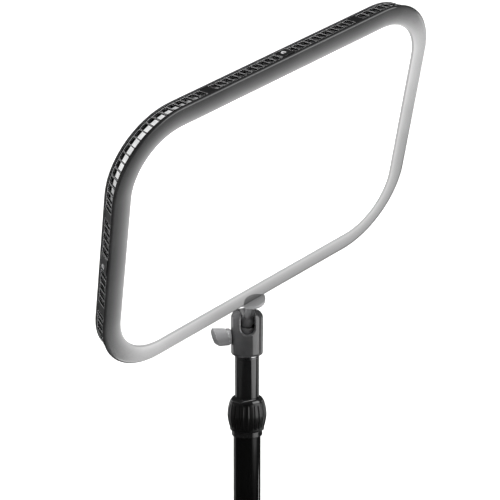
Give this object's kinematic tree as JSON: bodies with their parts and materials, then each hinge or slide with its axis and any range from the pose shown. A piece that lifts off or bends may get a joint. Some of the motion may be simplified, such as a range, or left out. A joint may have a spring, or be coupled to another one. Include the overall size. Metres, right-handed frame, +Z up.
{
  "type": "led panel light",
  "caption": "Flat rounded LED studio panel with a vented rim, on a mini ball head and a telescopic twist-lock pole.",
  "frame": {"origin": "centre of the pole's foot, on the mouth of its threaded hole", "axes": "+Z up the pole, -Y towards the side the light faces at rest, +X to the right as seen from there"},
  "size_m": [0.2703, 0.313, 0.8575],
  "materials": {
    "satin_black_frame": "satin paint over aluminium",
    "black_plastic": "fine matte moulding",
    "dark_steel": "blackened steel",
    "opal_diffuser": "opal acrylic, lit",
    "opal_film": "thin diffusion film",
    "clear_acrylic": "polished light guide",
    "white_film": "white reflector",
    "raw_aluminium": "mill finish",
    "grey_frame": "bead-blasted extrusion",
    "white_board": "white solder mask",
    "led_yellow": "phosphor",
    "rear_black": "fine powder coat",
    "green_board": "solder mask",
    "component_black": "moulded components",
    "inlet_black": "moulded inlet",
    "brass": "machined",
    "black_tube": "gloss black coat",
    "foot_rubber": "moulded plug",
    "gloss_black": "polished moulding",
    "grey_nylon": "nylon",
    "grip_black": "ribbed moulding",
    "bright_steel": "turned washer",
    "anodised_black": "black anodised, semi-gloss",
    "dial_black": "ribbed dial",
    "rocker_black": "polished rocker"
  },
  "bodies": {
    "pole_base": {"lower_tube": "black_tube", "foot_plug": "foot_rubber", "collar_base": "gloss_black", "collet": "grey_nylon"},
    "twist_lock": {"twist_grip": "grip_black", "shoulder_ring": "gloss_black"},
    "pole_slider": {"upper_tube": "black_tube", "tube_plug": "dark_steel", "guide_bush": "grey_nylon", "seam_washer": "bright_steel"},
    "head": {"socket_body": "anodised_black", "ball_seat": "grey_nylon", "base_plug": "raw_aluminium"},
    "head_lock": {"lock_knob": "anodised_black", "lock_screw": "dark_steel"},
    "ball": {"ball_stem": "anodised_black", "platform_disc": "anodised_black"},
    "panel": {"front_bezel": "satin_black_frame", "vent_ring": "black_plastic", "rim_screws": "dark_steel", "diffuser": "opal_diffuser", "diffusion_film": "opal_film", "light_guide": "clear_acrylic", "reflector_sheet": "white_film", "heat_plate": "raw_aluminium", "inner_frame": "grey_frame", "led_strip_top": "white_board", "led_strip_bottom": "white_board", "led_chips": "led_yellow", "rear_cover": "rear_black", "rear_screws": "dark_steel", "rear_housing": "rear_black", "driver_board": "green_board", "board_components": "component_black", "dial_encoders": "component_black", "dc_inlet": "inlet_black", "switch_frame": "black_plastic", "mount_insert": "brass"},
    "brightness_dial": {"brightness_dial": "dial_black"},
    "colour_dial": {"colour_dial": "dial_black"},
    "power_rocker": {"power_rocker": "rocker_black"}
  },
  "joints": [
    {"name": "pole_slide", "type": "slide", "parent": "pole_base", "child": "pole_slider", "axis": [0, 0, 1], "range_m": [-0.03, 0.35]},
    {"name": "lock_collar_turn", "type": "hinge", "parent": "pole_base", "child": "twist_lock", "pos_m": [0, 0, 0.4975], "axis": [0, 0, 1], "range_deg": [0, 120]},
    {"name": "head_pan", "type": "hinge", "parent": "pole_slider", "child": "head", "pos_m": [0, 0, 0.5645], "axis": [0, 0, 1], "continuous": true},
    {"name": "ball_tilt", "type": "hinge", "parent": "head", "child": "ball", "pos_m": [0, 0, 0.58], "axis": [0.9794, 0.2019, 0], "range_deg": [-54, 59]},
    {"name": "panel_spin", "type": "hinge", "parent": "ball", "child": "panel", "pos_m": [0, 0, 0.58], "axis": [0.1031, -0.5, 0.8599], "continuous": true},
    {"name": "lock_knob_turn", "type": "hinge", "parent": "head", "child": "head_lock", "pos_m": [-0.01959, -0.00404, 0.5676], "axis": [-0.9794, -0.2019, 0], "range_deg": [-180, 180]},
    {"name": "brightness_turn", "type": "hinge", "parent": "panel", "child": "brightness_dial", "pos_m": [-0.04754, -0.08713, 0.67639], "axis": [-0.6941, 0.583, 0.4223], "range_deg": [-140, 140]},
    {"name": "colour_turn", "type": "hinge", "parent": "panel", "child": "colour_dial", "pos_m": [0.04081, -0.00772, 0.71198], "axis": [-0.6941, 0.583, 0.4223], "range_deg": [-140, 140]},
    {"name": "power_rock", "type": "hinge", "parent": "panel", "child": "power_rocker", "pos_m": [-0.00274, -0.04795, 0.6938], "axis": [0.7124, 0.6404, 0.287], "range_deg": [-18, 0]}
  ]
}
